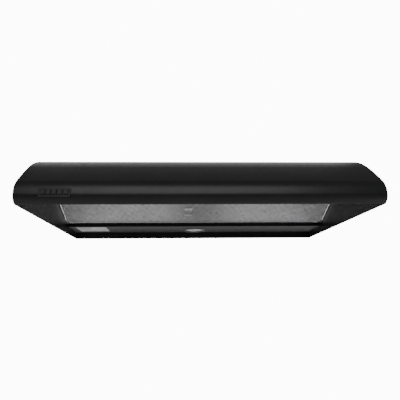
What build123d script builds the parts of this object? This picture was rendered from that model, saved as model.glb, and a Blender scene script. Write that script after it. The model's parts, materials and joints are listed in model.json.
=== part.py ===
from build123d import *

import os
from math import cos, pi, radians, sin, tan

# Under-cabinet range hood, 30 in wide: a bent sheet-metal canopy with a curved nose,
# a full-width mesh filter, a twin-wheel blower, a rear lamp panel and five push buttons.
# Millimetres. +X across, -Y towards the cook, +Z up. The origin is the centre of the
# four cabinet screws, on the top face.

os.makedirs("parts", exist_ok=True)

# ---- driving dimensions -------------------------------------------------------------

width = 759.0
depth = 457.0
height = 146.0
sheet = 1.0

screws_behind = 326.0  # centre of the four cabinet screws, behind the nose front
front_y = -screws_behind
bottom_z = -height
half_width = width / 2
inner_half = half_width - sheet

# side profile of the nose, a chain of tangent arcs from the bottom edge to the flat top
low_radius = 21.0
low_turn = 65.0
nose_radius = 46.0
nose_turn = 44.0
brow_radius = 800.0
brow_turn = 5.0
crown_turn = 90.0 - nose_turn - brow_turn
crown_start = 90.0 - nose_turn
brow_rise = brow_radius * (cos(radians(crown_turn)) - cos(radians(crown_start)))
nose_base = low_radius * sin(radians(low_turn))
crown_base = nose_base + nose_radius * sin(radians(nose_turn)) + brow_rise
crown_radius = (height - crown_base) / (1 - cos(radians(crown_turn)))
brow_reach = brow_radius * (sin(radians(crown_start)) - sin(radians(crown_turn)))
crown_reach = crown_radius * sin(radians(crown_turn))
crown_end = nose_radius * (1 - cos(radians(nose_turn))) + brow_reach + crown_reach

hem_turn = 24.0
flange_width = 12.0
weld_flange = 5.0

# cabinet screws in keyhole slots, and the wiring hole
keyhole_x = 330.0
keyhole_y = 95.0
keyhole_radius = 5.5
keyhole_slot = 3.0
keyhole_reach = 12.0
wiring_x = -207.5
wiring_behind = 410.0
wiring_radius = 11.1

# duct outlet for 3 1/4 x 10 in duct
duct_width = 254.0
duct_depth = 83.0
duct_front = 360.0
duct_back = duct_front + duct_depth
duct_height = 38.0
collar_flange = 12.5

# rear underside panel and its lamp
panel_front = 346.0
panel_rise = 18.0
lamp_behind = 402.0
panel_gap = 1.2
lamp_hole = 29.0

# filter, in a slope that falls towards the back
filter_angle = 28.0
filter_width = 755.0
filter_length = 169.0
filter_thick = 8.0
filter_rail = 7.0
filter_front = 196.5
filter_front_rise = 106.8
filter_travel = 34.0
tab_x = -21.0
tab_start = 101.0
tab_width = 22.0

# blower
axle_behind = 383.0
axle_rise = 97.0
scroll_half = 124.0
tongue_radius = 48.0
tongue_turn = 61.4
belly_radius = 52.0
back_radius = 56.0
wheel_radius = 44.0
wheel_inner = 46.0
wheel_outer = 116.0
blade_count = 32
shaft_radius = 4.0
running_gap = 0.04
motor_radius = 39.0
motor_half = 36.0
inlet_radius = 36.0

# push buttons in the nose, at the left
switch_x = -296.5
switch_rise = 22.0
button_pitch = 11.4
button_width = 9.5
button_height = 10.4
button_gap = 0.35
button_front = -4.2
button_names = ["light_button", "off_button"] + [f"speed_{n}_button" for n in (1, 2, 3)]

# sheet-metal screws and leads
screw_radius = 1.7
screw_clearance = 0.05
lead_radius = 2.5
grommet_radius = 4.2


# ---- helpers ------------------------------------------------------------------------


def at(behind, above):
    """Side-view point: behind the nose front and above the bottom edge."""
    return (front_y + behind, bottom_z + above)


def spot(across, behind, above):
    """Point of the model: across from the middle, behind the front, above the bottom."""
    return (across, front_y + behind, bottom_z + above)


def block(across, behind, above, mode=Mode.ADD):
    """Box between two limits in each of the directions of spot()."""
    middle = [(low + high) / 2 for low, high in (across, behind, above)]
    size = [high - low for low, high in (across, behind, above)]
    with Locations(spot(*middle)):
        Box(*size, mode=mode)


def drill(centre, direction, radius, length=6.0):
    """Round hole through the part being built, centred on a point."""
    with Locations(Plane(origin=centre, z_dir=direction)):
        Cylinder(radius, length, mode=Mode.SUBTRACT)


def rod(centre, direction, radius, length, mode=Mode.ADD):
    """Round rod that starts at a point and runs along a direction."""
    with Locations(Plane(origin=centre, z_dir=direction)):
        Cylinder(radius, length, align=(Align.CENTER, Align.CENTER, Align.MIN), mode=mode)


def low_line(inset, turn):
    """Arc of the skin from the nose's bottom edge up towards its foremost line."""
    out = (low_radius - inset) * cos(radians(low_turn))
    down = (low_radius - inset) * sin(radians(low_turn))
    forward = (-sin(radians(low_turn)), cos(radians(low_turn)))
    return JernArc(at(low_radius - out, nose_base - down), forward, low_radius - inset, -turn)


def skin_line(inset):
    """Line of the canopy skin from the nose's bottom edge to the flat top; its two ends."""
    low = low_line(inset, low_turn)
    nose = JernArc(low @ 1, low % 1, nose_radius - inset, -nose_turn)
    brow = JernArc(nose @ 1, nose % 1, brow_radius - inset, -brow_turn)
    crown = JernArc(brow @ 1, brow % 1, crown_radius - inset, -crown_turn)
    return low @ 0, crown @ 1


def skin_band(outer, inner, end):
    """Side-view band between two insets of the skin, ending at a depth."""
    with BuildSketch(mode=Mode.PRIVATE) as band:
        with BuildLine():
            outer_foot, outer_top = skin_line(outer)
            inner_foot, inner_top = skin_line(inner)
            Line(outer_foot, inner_foot)
            Polyline(outer_top, at(end, height - outer), at(end, height - inner), inner_top)
        make_face()
    return band.sketch


def hem_band():
    """Side-view band of the edge that is folded back inside the nose's bottom."""
    with BuildSketch(mode=Mode.PRIVATE) as band:
        with BuildLine():
            outer = low_line(sheet, hem_turn)
            inner = low_line(2 * sheet, hem_turn)
            Line(outer @ 0, inner @ 0)
            Line(outer @ 1, inner @ 1)
        make_face()
    return band.sketch


def side_face(inset):
    """Side-view outline of the whole canopy, inset from its skin."""
    with BuildSketch(mode=Mode.PRIVATE) as face:
        with BuildLine():
            foot, top = skin_line(inset)
            Polyline(top, at(depth, height - inset), at(depth, inset), foot)
        make_face()
    return face.sketch


def scroll_line(gap):
    """Line of the blower housing from the tongue round the belly to the outlet."""
    start = at(axle_behind - tongue_radius - gap, axle_rise)
    tongue = JernArc(start, (0, 1), tongue_radius + gap, -tongue_turn)
    Line(tongue @ 1, at(duct_front - gap, height - 2 * sheet))
    belly = JernArc(start, (0, -1), belly_radius + gap, 90)
    back = JernArc(belly @ 1, (1, 0), back_radius + gap, 90)
    Line(back @ 1, at(duct_back + gap, height - 2 * sheet))


def scroll_face(gap):
    """Side-view outline of the blower housing, grown by a gap, closed at the outlet."""
    with BuildSketch(mode=Mode.PRIVATE) as face:
        with BuildLine():
            scroll_line(gap)
            Line(at(duct_front - gap, height - 2 * sheet), at(duct_back + gap, height - 2 * sheet))
        make_face()
    return face.sketch


def turned(start, length, radius, mode=Mode.ADD):
    """Cylinder on the blower axis, from one X over a length."""
    with Locations(Plane(origin=spot(start, axle_behind, axle_rise), z_dir=(1, 0, 0))):
        Cylinder(radius, length, align=(Align.CENTER, Align.CENTER, Align.MIN), mode=mode)


filter_plane = Plane(
    origin=spot(0, filter_front, filter_front_rise),
    x_dir=(1, 0, 0),
    z_dir=(0, sin(radians(filter_angle)), cos(radians(filter_angle))),
)


def filter_block(across, along, thick, mode=Mode.ADD):
    """Box in the filter's slope: across, along from its front edge, and up through it."""
    middle = [(low + high) / 2 for low, high in (across, along, thick)]
    size = [high - low for low, high in (across, along, thick)]
    with Locations(filter_plane.location * Location(middle)):
        Box(*size, mode=mode)


# ---- screw places -------------------------------------------------------------------

under = height - 3 * sheet
collar_under = height - 2 * sheet
duct_lip_middle = 6.0
blower_screws = [
    spot(x, y, under)
    for x in (-105, 0, 105)
    for y in (duct_front - duct_lip_middle, duct_back + duct_lip_middle)
]
collar_screws = [spot(x, y, collar_under) for x in (-133.5, 133.5) for y in (375, 430)]
box_left = -250.0
box_right = -165.0
box_front = 370.0
box_back = 450.0
box_rise = 100.0
box_ears = (box_left - 6, box_right + 6)
box_top_screws = [spot(x, y, collar_under) for x in box_ears for y in (385, 435)]
box_cover_screws = [spot(x, box_front - sheet, 122) for x in (box_left + 5, box_right - 5)]
channel_behind = 214.0
channel_screws = [spot(x, channel_behind + 8, collar_under) for x in (-270, 0, 270)]
channel_half = 365.0
capacitor_x = 185.0
strap_screws = [spot(capacitor_x, y, collar_under) for y in (377, 423)]
top_screws = blower_screws + collar_screws + box_top_screws + channel_screws + strap_screws


# ---- canopy -------------------------------------------------------------------------

with BuildPart() as hood_shell:
    with BuildSketch(Plane.YZ.offset(-inner_half)):
        add(skin_band(0, sheet, crown_end + sheet))
    extrude(amount=2 * inner_half)
    with BuildSketch(Plane.YZ.offset(-inner_half + flange_width + panel_gap)):
        add(hem_band())
    extrude(amount=2 * (inner_half - flange_width - panel_gap))
    block(
        (-inner_half + flange_width + panel_gap, inner_half - flange_width - panel_gap),
        (crown_end, crown_end + sheet),
        (height - weld_flange, height),
    )
    block(
        (switch_x - 29.3, switch_x + 29.3),
        (-2, 10),
        (switch_rise - 7.5, switch_rise + 7.5),
        mode=Mode.SUBTRACT,
    )
hood_shell.part.label = "hood_shell"
export_step(hood_shell.part, "parts/hood_shell.step")

with BuildPart() as top_panel:
    block((-inner_half, inner_half), (crown_end + sheet, depth), (height - sheet, height))
    block(
        (-inner_half + flange_width + panel_gap, inner_half - flange_width - panel_gap),
        (crown_end + sheet, crown_end + 2 * sheet),
        (height - weld_flange, height),
    )
    block(
        (-duct_width / 2 - 0.5, duct_width / 2 + 0.5),
        (duct_front - 0.5, duct_back + 0.5),
        (height - 2 * sheet, height + sheet),
        mode=Mode.SUBTRACT,
    )
    with GridLocations(2 * keyhole_x, 2 * keyhole_y, 2, 2):
        Cylinder(keyhole_radius, 4 * sheet, mode=Mode.SUBTRACT)
        with Locations((0, keyhole_reach / 2, 0)):
            Box(2 * keyhole_slot, keyhole_reach, 4 * sheet, mode=Mode.SUBTRACT)
        with Locations((0, keyhole_reach, 0)):
            Cylinder(keyhole_slot, 4 * sheet, mode=Mode.SUBTRACT)
    drill(spot(wiring_x, wiring_behind, height), (0, 0, 1), wiring_radius)
    for seat in top_screws:
        drill(seat, (0, 0, 1), screw_radius + screw_clearance, 12)
top_panel.part.label = "top_panel"
export_step(top_panel.part, "parts/top_panel.step")

side_hem = 7.0
for side, name in ((-1, "left_end_panel"), (1, "right_end_panel")):
    with BuildPart() as end_panel:
        with BuildSketch(Plane.YZ.offset(side * inner_half)):
            add(side_face(0))
        extrude(amount=side * sheet)
        with BuildSketch(Plane.YZ.offset(side * inner_half)):
            add(skin_band(sheet, 2 * sheet, depth - sheet))
        extrude(amount=-side * flange_width)
        hem_edge = sorted((side * (inner_half - sheet), side * inner_half))
        block(hem_edge, (40, depth - 3 * sheet), (0, side_hem))
    end_panel.part.label = name
    export_step(end_panel.part, f"parts/{name}.step")

with BuildPart() as back_panel:
    block((-inner_half, inner_half), (depth - sheet, depth), (0, height - sheet))
    block((-inner_half + 2, inner_half - 2), (depth - 2 * sheet, depth - sheet), (0, side_hem))
    score = 0.35
    with BuildSketch(Plane.XZ.offset(-(front_y + depth))):
        with Locations((0, bottom_z + 92)):
            RectangleRounded(duct_width, duct_depth, 6)
            RectangleRounded(duct_width - 2, duct_depth - 2, 5, mode=Mode.SUBTRACT)
        with Locations((wiring_x, bottom_z + 120)):
            Circle(wiring_radius)
            Circle(wiring_radius - 1, mode=Mode.SUBTRACT)
    extrude(amount=score, mode=Mode.SUBTRACT)
back_panel.part.label = "back_panel"
export_step(back_panel.part, "parts/back_panel.step")

# ---- rear underside panel with the lamp and the rating label ------------------------

panel_back = depth - sheet
panel_half = inner_half - panel_gap
panel_lip = 12.0
side_lip_start = 360.0
with BuildPart() as lamp_panel:
    panel_x = (-panel_half, panel_half)
    block(panel_x, (panel_front, panel_back), (panel_rise, panel_rise + sheet))
    block(panel_x, (panel_front, panel_front + sheet), (panel_rise, panel_rise + panel_lip / 2))
    block(panel_x, (panel_back - sheet, panel_back), (panel_rise, panel_rise + panel_lip))
    for side in (-1, 1):
        lip = sorted((side * (panel_half - sheet), side * panel_half))
        block(lip, (side_lip_start, panel_back), (panel_rise, panel_rise + panel_lip))
    front_bend = lamp_panel.edges().filter_by(Axis.X).group_by(Axis.Z)[0].sort_by(Axis.Y)[0]
    fillet(front_bend, 0.9)
    drill(spot(0, lamp_behind, panel_rise), (0, 0, 1), lamp_hole)
lamp_panel.part.label = "lamp_panel"
export_step(lamp_panel.part, "parts/lamp_panel.step")

label_x = -308.5
label_behind = 385.0
label_width = 87.0
label_length = 68.0
label_thick = 0.3
with BuildPart() as rating_label:
    with BuildSketch(Plane.XY.offset(bottom_z + panel_rise - label_thick)):
        with Locations(spot(label_x, label_behind, 0)[:2]):
            RectangleRounded(label_width, label_length, 3)
    extrude(amount=label_thick)
rating_label.part.label = "rating_label"
export_step(rating_label.part, "parts/rating_label.step")

lamp_axis = Plane(origin=spot(0, lamp_behind, 0), x_dir=(1, 0, 0), z_dir=(0, -1, 0))

with BuildPart() as lamp_trim:
    with BuildSketch(lamp_axis):
        with BuildLine():
            Polyline(
                (25, 15.2), (31.5, 15.2), (33.5, 16.2), (33.5, panel_rise), (28.8, panel_rise),
                (28.8, 25), (27.4, 25), (27.4, 17.6), (25, 17.6), close=True,
            )
        make_face()
    revolve(axis=Axis(spot(0, lamp_behind, 0), (0, 0, 1)))
lamp_trim.part.label = "lamp_trim"
export_step(lamp_trim.part, "parts/lamp_trim.step")

with BuildPart() as lamp_lens:
    with BuildSketch(lamp_axis):
        with BuildLine():
            Polyline(
                (0, 16.2), (24.6, 17.4), (24.6, 17.7), (27.2, 17.7), (27.2, 20.2), (0, 20.2), close=True
            )
        make_face()
    revolve(axis=Axis(spot(0, lamp_behind, 0), (0, 0, 1)))
lamp_lens.part.label = "lamp_lens"
export_step(lamp_lens.part, "parts/lamp_lens.step")

with BuildPart() as lamp_reflector:
    with BuildSketch(lamp_axis):
        with BuildLine():
            Polyline(
                (27.2, 20.4), (27.2, 21.2), (25, 21.2), (20, 28), (12.8, 34.2), (6, 35),
                (6, 34.2), (12.4, 33.4), (19.3, 27.4), (24.6, 20.4), close=True,
            )
        make_face()
    revolve(axis=Axis(spot(0, lamp_behind, 0), (0, 0, 1)))
lamp_reflector.part.label = "lamp_reflector"
export_step(lamp_reflector.part, "parts/lamp_reflector.step")

with BuildPart() as lamp_holder:
    block((-12, 12), (lamp_behind - 8, lamp_behind + 8), (35.1, 43))
    for x in (-2.5, 2.5):
        drill(spot(x, lamp_behind, 38), (0, 0, 1), 0.6, 6.2)
    fillet(lamp_holder.edges().filter_by(Axis.Z).group_by(SortBy.LENGTH)[-1], 2)
lamp_holder.part.label = "lamp_holder"
export_step(lamp_holder.part, "parts/lamp_holder.step")

with BuildPart() as lamp_bulb:
    rod(spot(0, lamp_behind, 25), (0, 0, 1), 4.5, 9)
    fillet(lamp_bulb.edges().group_by(Axis.Z)[0], 3.5)
    for x in (-2.5, 2.5):
        rod(spot(x, lamp_behind, 33), (0, 0, 1), 0.5, 7.5)
lamp_bulb.part.label = "lamp_bulb"
export_step(lamp_bulb.part, "parts/lamp_bulb.step")

with BuildPart() as lamp_clips:
    for side in (-1, 1):
        leg = sorted((lamp_behind + side * 29.05, lamp_behind + side * 29.65))
        foot = sorted((lamp_behind + side * 29.05, lamp_behind + side * 38))
        block((-5, 5), leg, (panel_rise + sheet, 26))
        block((-5, 5), foot, (panel_rise + sheet, panel_rise + sheet + 0.6))
lamp_clips.part.label = "lamp_clips"
export_step(lamp_clips.part, "parts/lamp_clips.step")

# ---- filter and its supports --------------------------------------------------------

filter_half = filter_width / 2
groove = 1.5

with BuildPart() as filter_frame:
    filter_block((-filter_half, filter_half), (0, filter_length), (0, filter_thick))
    filter_block(
        (-filter_half + filter_rail, filter_half - filter_rail),
        (filter_rail, filter_length - filter_rail),
        (-1, filter_thick + 1),
        mode=Mode.SUBTRACT,
    )
    filter_block(
        (-filter_half + groove, filter_half - groove),
        (groove, filter_length - groove),
        (1, filter_thick - 1),
        mode=Mode.SUBTRACT,
    )
filter_frame.part.label = "filter_frame"
export_step(filter_frame.part, "parts/filter_frame.step")

rivet_radius = 1.6
rivet_hole = rivet_radius + screw_clearance
tab_rivet_places = [
    filter_plane.from_local_coords(Vector(tab_x + x, tab_start + 5, 0)) for x in (-7, 7)
]
filter_normal = tuple(filter_plane.z_dir)

with BuildPart() as filter_mesh:
    filter_block(
        (-filter_half + groove + 0.1, filter_half - groove - 0.1),
        (groove + 0.1, filter_length - groove - 0.1),
        (1.1, filter_thick - 1.1),
    )
    for place in tab_rivet_places:
        drill(place, filter_normal, rivet_hole, 40)
filter_mesh.part.label = "filter_mesh"
export_step(filter_mesh.part, "parts/filter_mesh.step")

tab_side = Plane(
    origin=filter_plane.from_local_coords(Vector(tab_x - tab_width / 2, tab_start, 0)),
    x_dir=filter_plane.y_dir,
    z_dir=(1, 0, 0),
)
with BuildPart() as filter_tab:
    with BuildSketch(tab_side):
        with BuildLine():
            Polyline(
                (0, 0.2), (0, 1.0), (11.3, 1.0), (14.4, -0.4), (21.6, -5.8), (24.8, -6.0),
                (24.8, -6.8), (21.3, -6.6), (14, -1.2), (11, 0.2), close=True,
            )
        make_face()
    extrude(amount=tab_width)
    for place in tab_rivet_places:
        drill(place, filter_normal, rivet_hole, 8)
filter_tab.part.label = "filter_tab"
export_step(filter_tab.part, "parts/filter_tab.step")

with BuildPart() as filter_tab_rivets:
    for place in tab_rivet_places:
        rod(place, filter_normal, rivet_radius, filter_thick)
        with Locations(Plane(origin=place, z_dir=filter_normal)):
            Cylinder(3, 0.8, align=(Align.CENTER, Align.CENTER, Align.MAX))
        with Locations(Plane(origin=place, z_dir=filter_normal).offset(filter_thick)):
            Cylinder(2.6, 0.7, align=(Align.CENTER, Align.CENTER, Align.MIN))
        drill(place, filter_normal, 0.4, 60)
filter_tab_rivets.part.label = "filter_tab_rivets"
export_step(filter_tab_rivets.part, "parts/filter_tab_rivets.step")

channel_web = -filter_travel - 3.5
channel_gap = 0.5
channel_top = filter_thick + channel_gap
leg_along = (channel_behind - filter_front) / cos(radians(filter_angle))
leg_foot = filter_front_rise - tan(radians(filter_angle)) * (channel_behind - filter_front)
lead_pass = 138.0
lead_x = -300.0

with BuildPart() as filter_channel:
    channel_x = (-channel_half, channel_half)
    channel_start = channel_web - sheet
    leg_start = leg_foot + channel_top / cos(radians(filter_angle))
    filter_block(channel_x, (channel_start, channel_web), (-channel_gap - sheet, channel_top + sheet))
    filter_block(channel_x, (channel_start, 8), (-channel_gap - sheet, -channel_gap))
    filter_block(channel_x, (channel_start, leg_along + 5), (channel_top, channel_top + sheet))
    block(channel_x, (channel_behind, channel_behind + sheet), (leg_start, collar_under + sheet))
    block(channel_x, (channel_behind, channel_behind + 14), (collar_under, collar_under + sheet))
    drill(spot(lead_x, channel_behind, lead_pass), (0, 1, 0), grommet_radius)
    for seat in channel_screws:
        drill(seat, (0, 0, 1), screw_radius + screw_clearance)
filter_channel.part.label = "filter_channel"
export_step(filter_channel.part, "parts/filter_channel.step")

seat_half = 355.0
seat_foot_behind = 348.0
seat_lip = 3.0
seat_foot = panel_rise + sheet
with BuildPart() as filter_seat:
    filter_block((-seat_half, seat_half), (filter_length - seat_lip, filter_length + 1.4), (-1.3, -0.3))
    filter_block((-seat_half, seat_half), (filter_length + 0.4, filter_length + 1.4), (-1.3, 6))
    block((-seat_half, seat_half), (seat_foot_behind, seat_foot_behind + sheet), (seat_foot, 28.5))
    block((-seat_half, seat_half), (seat_foot_behind, seat_foot_behind + 10), (seat_foot, seat_foot + sheet))
filter_seat.part.label = "filter_seat"
export_step(filter_seat.part, "parts/filter_seat.step")

# ---- blower -------------------------------------------------------------------------

motor_lead_x = 28.0
motor_lead_rise = 118.0

with BuildPart() as blower_scroll:
    with BuildSketch(Plane.YZ.offset(-scroll_half)):
        add(scroll_face(sheet))
        add(scroll_face(0), mode=Mode.SUBTRACT)
    extrude(amount=2 * scroll_half)
    block((-scroll_half, scroll_half), (duct_front - 12, duct_front), (under, under + sheet))
    block((-scroll_half, scroll_half), (duct_back, duct_back + 12), (under, under + sheet))
    for seat in blower_screws:
        drill(seat, (0, 0, 1), screw_radius + screw_clearance)
    drill(spot(motor_lead_x, 338, motor_lead_rise), (0, 1, 0), grommet_radius, 14)
    drill(spot(0, axle_behind, 45), (0, 0, 1), screw_radius + screw_clearance)
    drill(spot(0, 335, axle_rise), (0, 1, 0), screw_radius + screw_clearance)
    drill(spot(0, duct_back, axle_rise + 8), (0, 1, 0), screw_radius + screw_clearance)
blower_scroll.part.label = "blower_scroll"
export_step(blower_scroll.part, "parts/blower_scroll.step")

for side, name in ((-1, "blower_side_left"), (1, "blower_side_right")):
    with BuildPart() as blower_side:
        with BuildSketch(Plane.YZ.offset(side * scroll_half)):
            add(scroll_face(sheet))
        extrude(amount=side * sheet)
        turned(side * scroll_half - 6, 12, inlet_radius, mode=Mode.SUBTRACT)
        with BuildSketch(Plane.YZ.offset(side * scroll_half)):
            with Locations(at(axle_behind, axle_rise)):
                Circle(inlet_radius + 1)
                Circle(inlet_radius, mode=Mode.SUBTRACT)
        extrude(amount=-side * 5)
        with BuildSketch(Plane.YZ.offset(side * (scroll_half + sheet))):
            with Locations(at(axle_behind, axle_rise)):
                Circle(inlet_radius + 2.5)
                Circle(inlet_radius, mode=Mode.SUBTRACT)
        extrude(amount=side * 1.2)
        block(
            sorted((side * (scroll_half - 1), side * (scroll_half + 3))),
            (duct_front - 3, duct_back + 3),
            (under, height),
            mode=Mode.SUBTRACT,
        )
    blower_side.part.label = name
    export_step(blower_side.part, f"parts/{name}.step")

with BuildPart() as right_blower_wheel:
    turned(wheel_inner, 1.4, wheel_radius)
    turned(wheel_inner, 18, 9)
    with BuildSketch(Plane.YZ.offset(wheel_inner + 1)):
        with Locations(at(axle_behind, axle_rise)):
            with PolarLocations(wheel_radius - 3.6, blade_count):
                Rectangle(7.4, 0.8, rotation=38)
    extrude(amount=wheel_outer - wheel_inner - 2)
    with BuildSketch(Plane.YZ.offset(wheel_outer - 2)):
        with Locations(at(axle_behind, axle_rise)):
            Circle(wheel_radius)
            Circle(wheel_radius - 5, mode=Mode.SUBTRACT)
    extrude(amount=2)
    turned(wheel_inner - 1, 30, shaft_radius + running_gap, mode=Mode.SUBTRACT)
    drill(spot(wheel_inner + 12, axle_behind, axle_rise + 7), (0, 0, 1), 1.55, 10)
right_blower_wheel.part.label = "right_blower_wheel"
export_step(right_blower_wheel.part, "parts/right_blower_wheel.step")

with BuildPart() as left_blower_wheel:
    mirror(right_blower_wheel.part, about=Plane.YZ)
left_blower_wheel.part.label = "left_blower_wheel"
export_step(left_blower_wheel.part, "parts/left_blower_wheel.step")

with BuildPart() as wheel_set_screws:
    for x in (-wheel_inner - 12, wheel_inner + 12):
        rod(spot(x, axle_behind, axle_rise + shaft_radius + 0.1), (0, 0, 1), 1.5, 5)
        with Locations(spot(x, axle_behind, axle_rise + shaft_radius + 5)):
            Box(0.5, 2.4, 1.2, mode=Mode.SUBTRACT)
wheel_set_screws.part.label = "wheel_set_screws"
export_step(wheel_set_screws.part, "parts/wheel_set_screws.step")

with BuildPart() as motor_shaft:
    turned(-70, 140, shaft_radius)
    chamfer(motor_shaft.edges().filter_by(GeomType.CIRCLE), 0.5)
motor_shaft.part.label = "motor_shaft"
export_step(motor_shaft.part, "parts/motor_shaft.step")

core_half = 21.0
with BuildPart() as motor_rotor:
    turned(-core_half, 2 * core_half, 19)
    turned(-core_half - 3, 2 * core_half + 6, 16)
    turned(-core_half - 4, 2 * core_half + 8, shaft_radius + running_gap, mode=Mode.SUBTRACT)
motor_rotor.part.label = "motor_rotor"
export_step(motor_rotor.part, "parts/motor_rotor.step")

with BuildPart() as motor_stator:
    turned(-core_half, 2 * core_half, motor_radius - 1.1)
    turned(-core_half - 1, 2 * core_half + 2, 19.8, mode=Mode.SUBTRACT)
    with BuildSketch(Plane.YZ.offset(-core_half)):
        with Locations(at(axle_behind, axle_rise)):
            with PolarLocations(26, 12):
                Rectangle(9, 4)
    extrude(amount=2 * core_half, mode=Mode.SUBTRACT)
motor_stator.part.label = "motor_stator"
export_step(motor_stator.part, "parts/motor_stator.step")

with BuildPart() as motor_windings:
    for start in (-core_half - 10.2, core_half + 0.2):
        turned(start, 10, 33)
        turned(start - 1, 12, 21.5, mode=Mode.SUBTRACT)
    fillet(motor_windings.edges().filter_by(GeomType.CIRCLE), 2.5)
motor_windings.part.label = "motor_windings"
export_step(motor_windings.part, "parts/motor_windings.step")

with BuildPart() as motor_shell:
    turned(-motor_half, 2 * motor_half, motor_radius)
    turned(-motor_half - 1, 2 * motor_half + 2, motor_radius - 1, mode=Mode.SUBTRACT)
    drill(spot(motor_lead_x, axle_behind - motor_radius, motor_lead_rise), (0, 1, 0), lead_radius + 0.2, 30)
motor_shell.part.label = "motor_shell"
export_step(motor_shell.part, "parts/motor_shell.step")

with BuildPart() as motor_end_right:
    turned(motor_half, 2, motor_radius)
    turned(motor_half, 7.5, 10)
    turned(motor_half - 1, 10, 6.5, mode=Mode.SUBTRACT)
    with BuildSketch(Plane.YZ.offset(motor_half)):
        with Locations(at(axle_behind, axle_rise)):
            with PolarLocations(24, 8):
                SlotOverall(14, 5, rotation=90)
    extrude(amount=2, mode=Mode.SUBTRACT)
motor_end_right.part.label = "motor_end_right"
export_step(motor_end_right.part, "parts/motor_end_right.step")

with BuildPart() as motor_end_left:
    mirror(motor_end_right.part, about=Plane.YZ)
motor_end_left.part.label = "motor_end_left"
export_step(motor_end_left.part, "parts/motor_end_left.step")

with BuildPart() as shaft_bearings:
    for start in (-motor_half - 7.5, motor_half):
        turned(start, 7.5, 6.45)
        turned(start - 1, 9.5, shaft_radius + running_gap, mode=Mode.SUBTRACT)
shaft_bearings.part.label = "shaft_bearings"
export_step(shaft_bearings.part, "parts/shaft_bearings.step")

strap_half = 8.0
with BuildPart() as motor_bracket:
    with BuildSketch(Plane.YZ.offset(-strap_half)):
        with Locations(at(axle_behind, axle_rise / 2)):
            Rectangle(14, axle_rise)
        with Locations(at(axle_behind - 30, axle_rise)):
            Rectangle(60, 14)
        with Locations(at(axle_behind + 34, axle_rise + 8)):
            Rectangle(68, 14)
        add(scroll_face(-0.05), mode=Mode.INTERSECT)
        with Locations(at(axle_behind, axle_rise)):
            Circle(motor_radius + 1.6)
            Circle(motor_radius + 0.05, mode=Mode.SUBTRACT)
    extrude(amount=2 * strap_half)
    drill(spot(0, axle_behind, 50), (0, 0, 1), screw_radius + screw_clearance, 14)
    drill(spot(0, 338, axle_rise), (0, 1, 0), screw_radius + screw_clearance, 12)
    drill(spot(0, 436, axle_rise + 8), (0, 1, 0), screw_radius + screw_clearance, 20)
motor_bracket.part.label = "motor_bracket"
export_step(motor_bracket.part, "parts/motor_bracket.step")

strap_band = 12.0
capacitor_radius = 15.0
capacitor_rise = 127.0
capacitor_behind = 400.0
with BuildPart() as capacitor:
    with Locations(Plane(origin=spot(capacitor_x - 26, capacitor_behind, capacitor_rise), z_dir=(1, 0, 0))):
        Cylinder(capacitor_radius, 52, align=(Align.CENTER, Align.CENTER, Align.MIN))
    fillet(capacitor.edges().filter_by(GeomType.CIRCLE), 1.5)
    for y in (-5, 5):
        block(
            (capacitor_x - 33, capacitor_x - 25),
            (capacitor_behind + y - 0.4, capacitor_behind + y + 0.4),
            (capacitor_rise - 3, capacitor_rise + 3),
        )
capacitor.part.label = "capacitor"
export_step(capacitor.part, "parts/capacitor.step")

with BuildPart() as capacitor_strap:
    with Locations(
        Plane(origin=spot(capacitor_x - strap_band / 2, capacitor_behind, capacitor_rise), z_dir=(1, 0, 0))
    ):
        Cylinder(capacitor_radius + 1, strap_band, align=(Align.CENTER, Align.CENTER, Align.MIN))
    band_x = (capacitor_x - strap_band / 2, capacitor_x + strap_band / 2)
    reach = capacitor_radius + 1
    strap_rise = (capacitor_rise, collar_under + sheet)
    block(band_x, (capacitor_behind - reach, capacitor_behind + reach), strap_rise)
    block(band_x, (capacitor_behind - 29, capacitor_behind + 29), (collar_under, collar_under + sheet))
    with Locations(
        Plane(origin=spot(capacitor_x - strap_band, capacitor_behind, capacitor_rise), z_dir=(1, 0, 0))
    ):
        Cylinder(
            capacitor_radius + 0.05,
            2 * strap_band,
            align=(Align.CENTER, Align.CENTER, Align.MIN),
            mode=Mode.SUBTRACT,
        )
    block(
        band_x,
        (capacitor_behind - reach + 1, capacitor_behind + reach - 1),
        (capacitor_rise, height),
        mode=Mode.SUBTRACT,
    )
    for seat in strap_screws:
        drill(seat, (0, 0, 1), screw_radius + screw_clearance)
capacitor_strap.part.label = "capacitor_strap"
export_step(capacitor_strap.part, "parts/capacitor_strap.step")

# ---- duct collar and back-draught flap ----------------------------------------------

flap_hinge = duct_back - sheet - 4
flap_rise = height + 12.0
hinge_radius = 1.5

with BuildPart() as duct_collar:
    block(
        (-duct_width / 2 - collar_flange, duct_width / 2 + collar_flange),
        (duct_front - collar_flange, duct_back + collar_flange - 0.5),
        (collar_under, collar_under + sheet),
    )
    block(
        (-duct_width / 2, duct_width / 2),
        (duct_front, duct_back),
        (collar_under, height + duct_height),
    )
    fillet(duct_collar.edges().filter_by(Axis.Z).group_by(SortBy.LENGTH)[-1], 2)
    block(
        (-duct_width / 2 + sheet, duct_width / 2 - sheet),
        (duct_front + sheet, duct_back - sheet),
        (collar_under - 1, height + duct_height + 1),
        mode=Mode.SUBTRACT,
    )
    for x in (-90, 0, 90):
        block((x - 12, x + 12), (duct_front + sheet, duct_front + 6), (flap_rise - 1.8, flap_rise - 0.8))
    for x in (-duct_width / 2, duct_width / 2):
        drill(spot(x, flap_hinge, flap_rise), (1, 0, 0), hinge_radius + 0.05)
    for seat in blower_screws + collar_screws:
        drill(seat, (0, 0, 1), screw_radius + screw_clearance)
duct_collar.part.label = "duct_collar"
export_step(duct_collar.part, "parts/duct_collar.step")

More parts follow.
